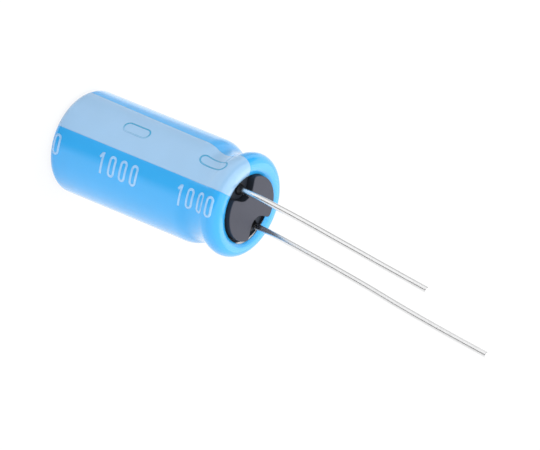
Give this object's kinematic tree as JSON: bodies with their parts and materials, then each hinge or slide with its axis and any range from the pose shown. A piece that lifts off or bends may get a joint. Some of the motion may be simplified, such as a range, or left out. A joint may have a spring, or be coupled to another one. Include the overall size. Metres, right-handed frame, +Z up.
{
  "type": "electrolytic capacitor",
  "caption": "Radial electrolytic capacitor: a sleeved aluminium can with a polarity stripe, closed by a rubber bung that its bent wire leads of unequal length pass through.",
  "frame": {"origin": "centre of the closed end, on the plane that the can stands on", "axes": "+Z up the can's axis towards the leads, +X from the anode lead towards the cathode lead and the polarity stripe"},
  "size_m": [0.0104, 0.0104, 0.0495],
  "materials": {
    "sleeve": "glossy shrunk film",
    "stripe_ink": "printed under gloss",
    "mark_ink": "printed under gloss",
    "can": "drawn, bare",
    "bung": "moulded, matte",
    "wire": "bright tinned",
    "tab": "rolled flat",
    "winding": "paper wetted with electrolyte",
    "tape": "thin adhesive tape"
  },
  "bodies": {
    "root": {"sleeve": "sleeve", "polarity_stripe": "stripe_ink", "minus_marks": "mark_ink", "can": "can", "rubber_bung": "bung", "cathode_lead": "wire", "anode_lead": "wire", "cathode_tab": "tab", "anode_tab": "tab", "winding": "winding", "winding_tape": "tape"}
  },
  "joints": []
}
